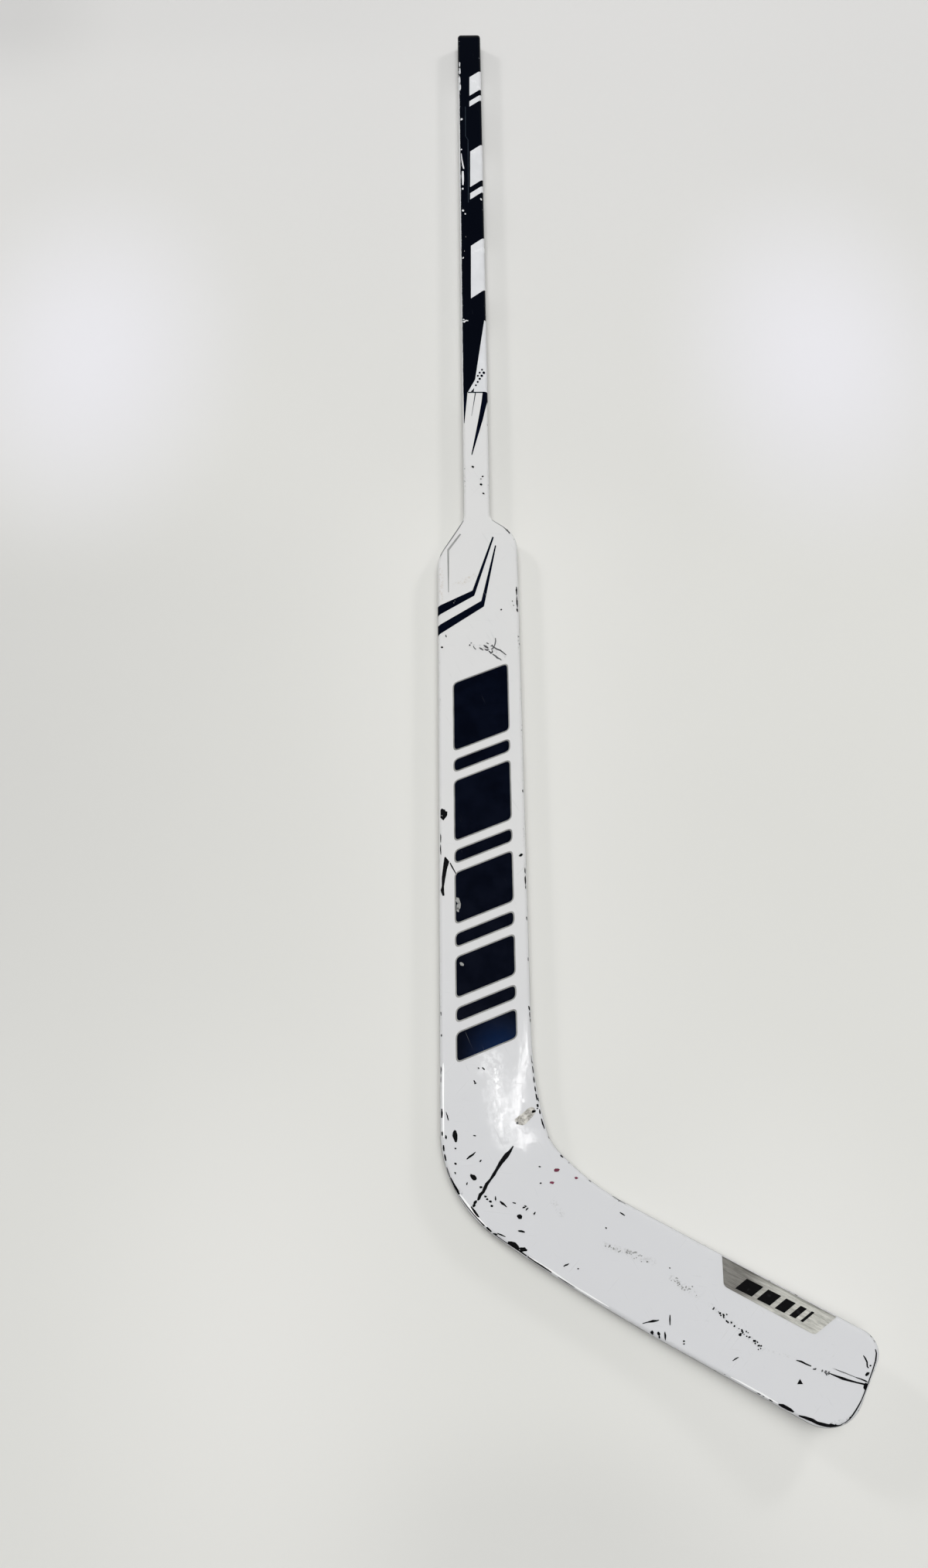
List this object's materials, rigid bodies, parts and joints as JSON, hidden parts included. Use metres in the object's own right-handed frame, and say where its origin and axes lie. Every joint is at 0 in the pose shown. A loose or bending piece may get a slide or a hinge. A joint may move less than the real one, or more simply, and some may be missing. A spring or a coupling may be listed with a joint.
{
  "type": "hockey goalie stick",
  "caption": "Goaltender's hockey stick with a slim rectangular shaft, a wide flat paddle and a curved blade set at an angle, lying on its back.",
  "frame": {"origin": "on the flat back, on the shaft's axis, level with the corners where the neck meets the paddle's shoulders (the grip)", "axes": "+Y up the shaft to the butt end, +Z out of the front face, +X to the side the blade points to"},
  "size_m": [0.3752, 1.6088, 0.0431],
  "materials": {
    "white_paint": "gloss",
    "navy_paint": "gloss",
    "black_plastic": "satin",
    "foam": "matte",
    "carbon": "satin",
    "foil": "satin"
  },
  "bodies": {
    "root": {"butt_plug": "black_plastic", "shaft_tube": "navy_paint", "splice_tenon": "carbon", "neck_core": "foam", "paddle_front_skin": "white_paint", "paddle_back_skin": "white_paint", "paddle_core": "foam", "left_rail": "carbon", "right_rail": "carbon", "heel_tongue": "carbon", "blade_front_skin": "white_paint", "blade_back_skin": "white_paint", "blade_core_upper": "foam", "blade_core_lower": "foam", "blade_bridge": "carbon", "toe_foil": "foil"}
  },
  "joints": []
}
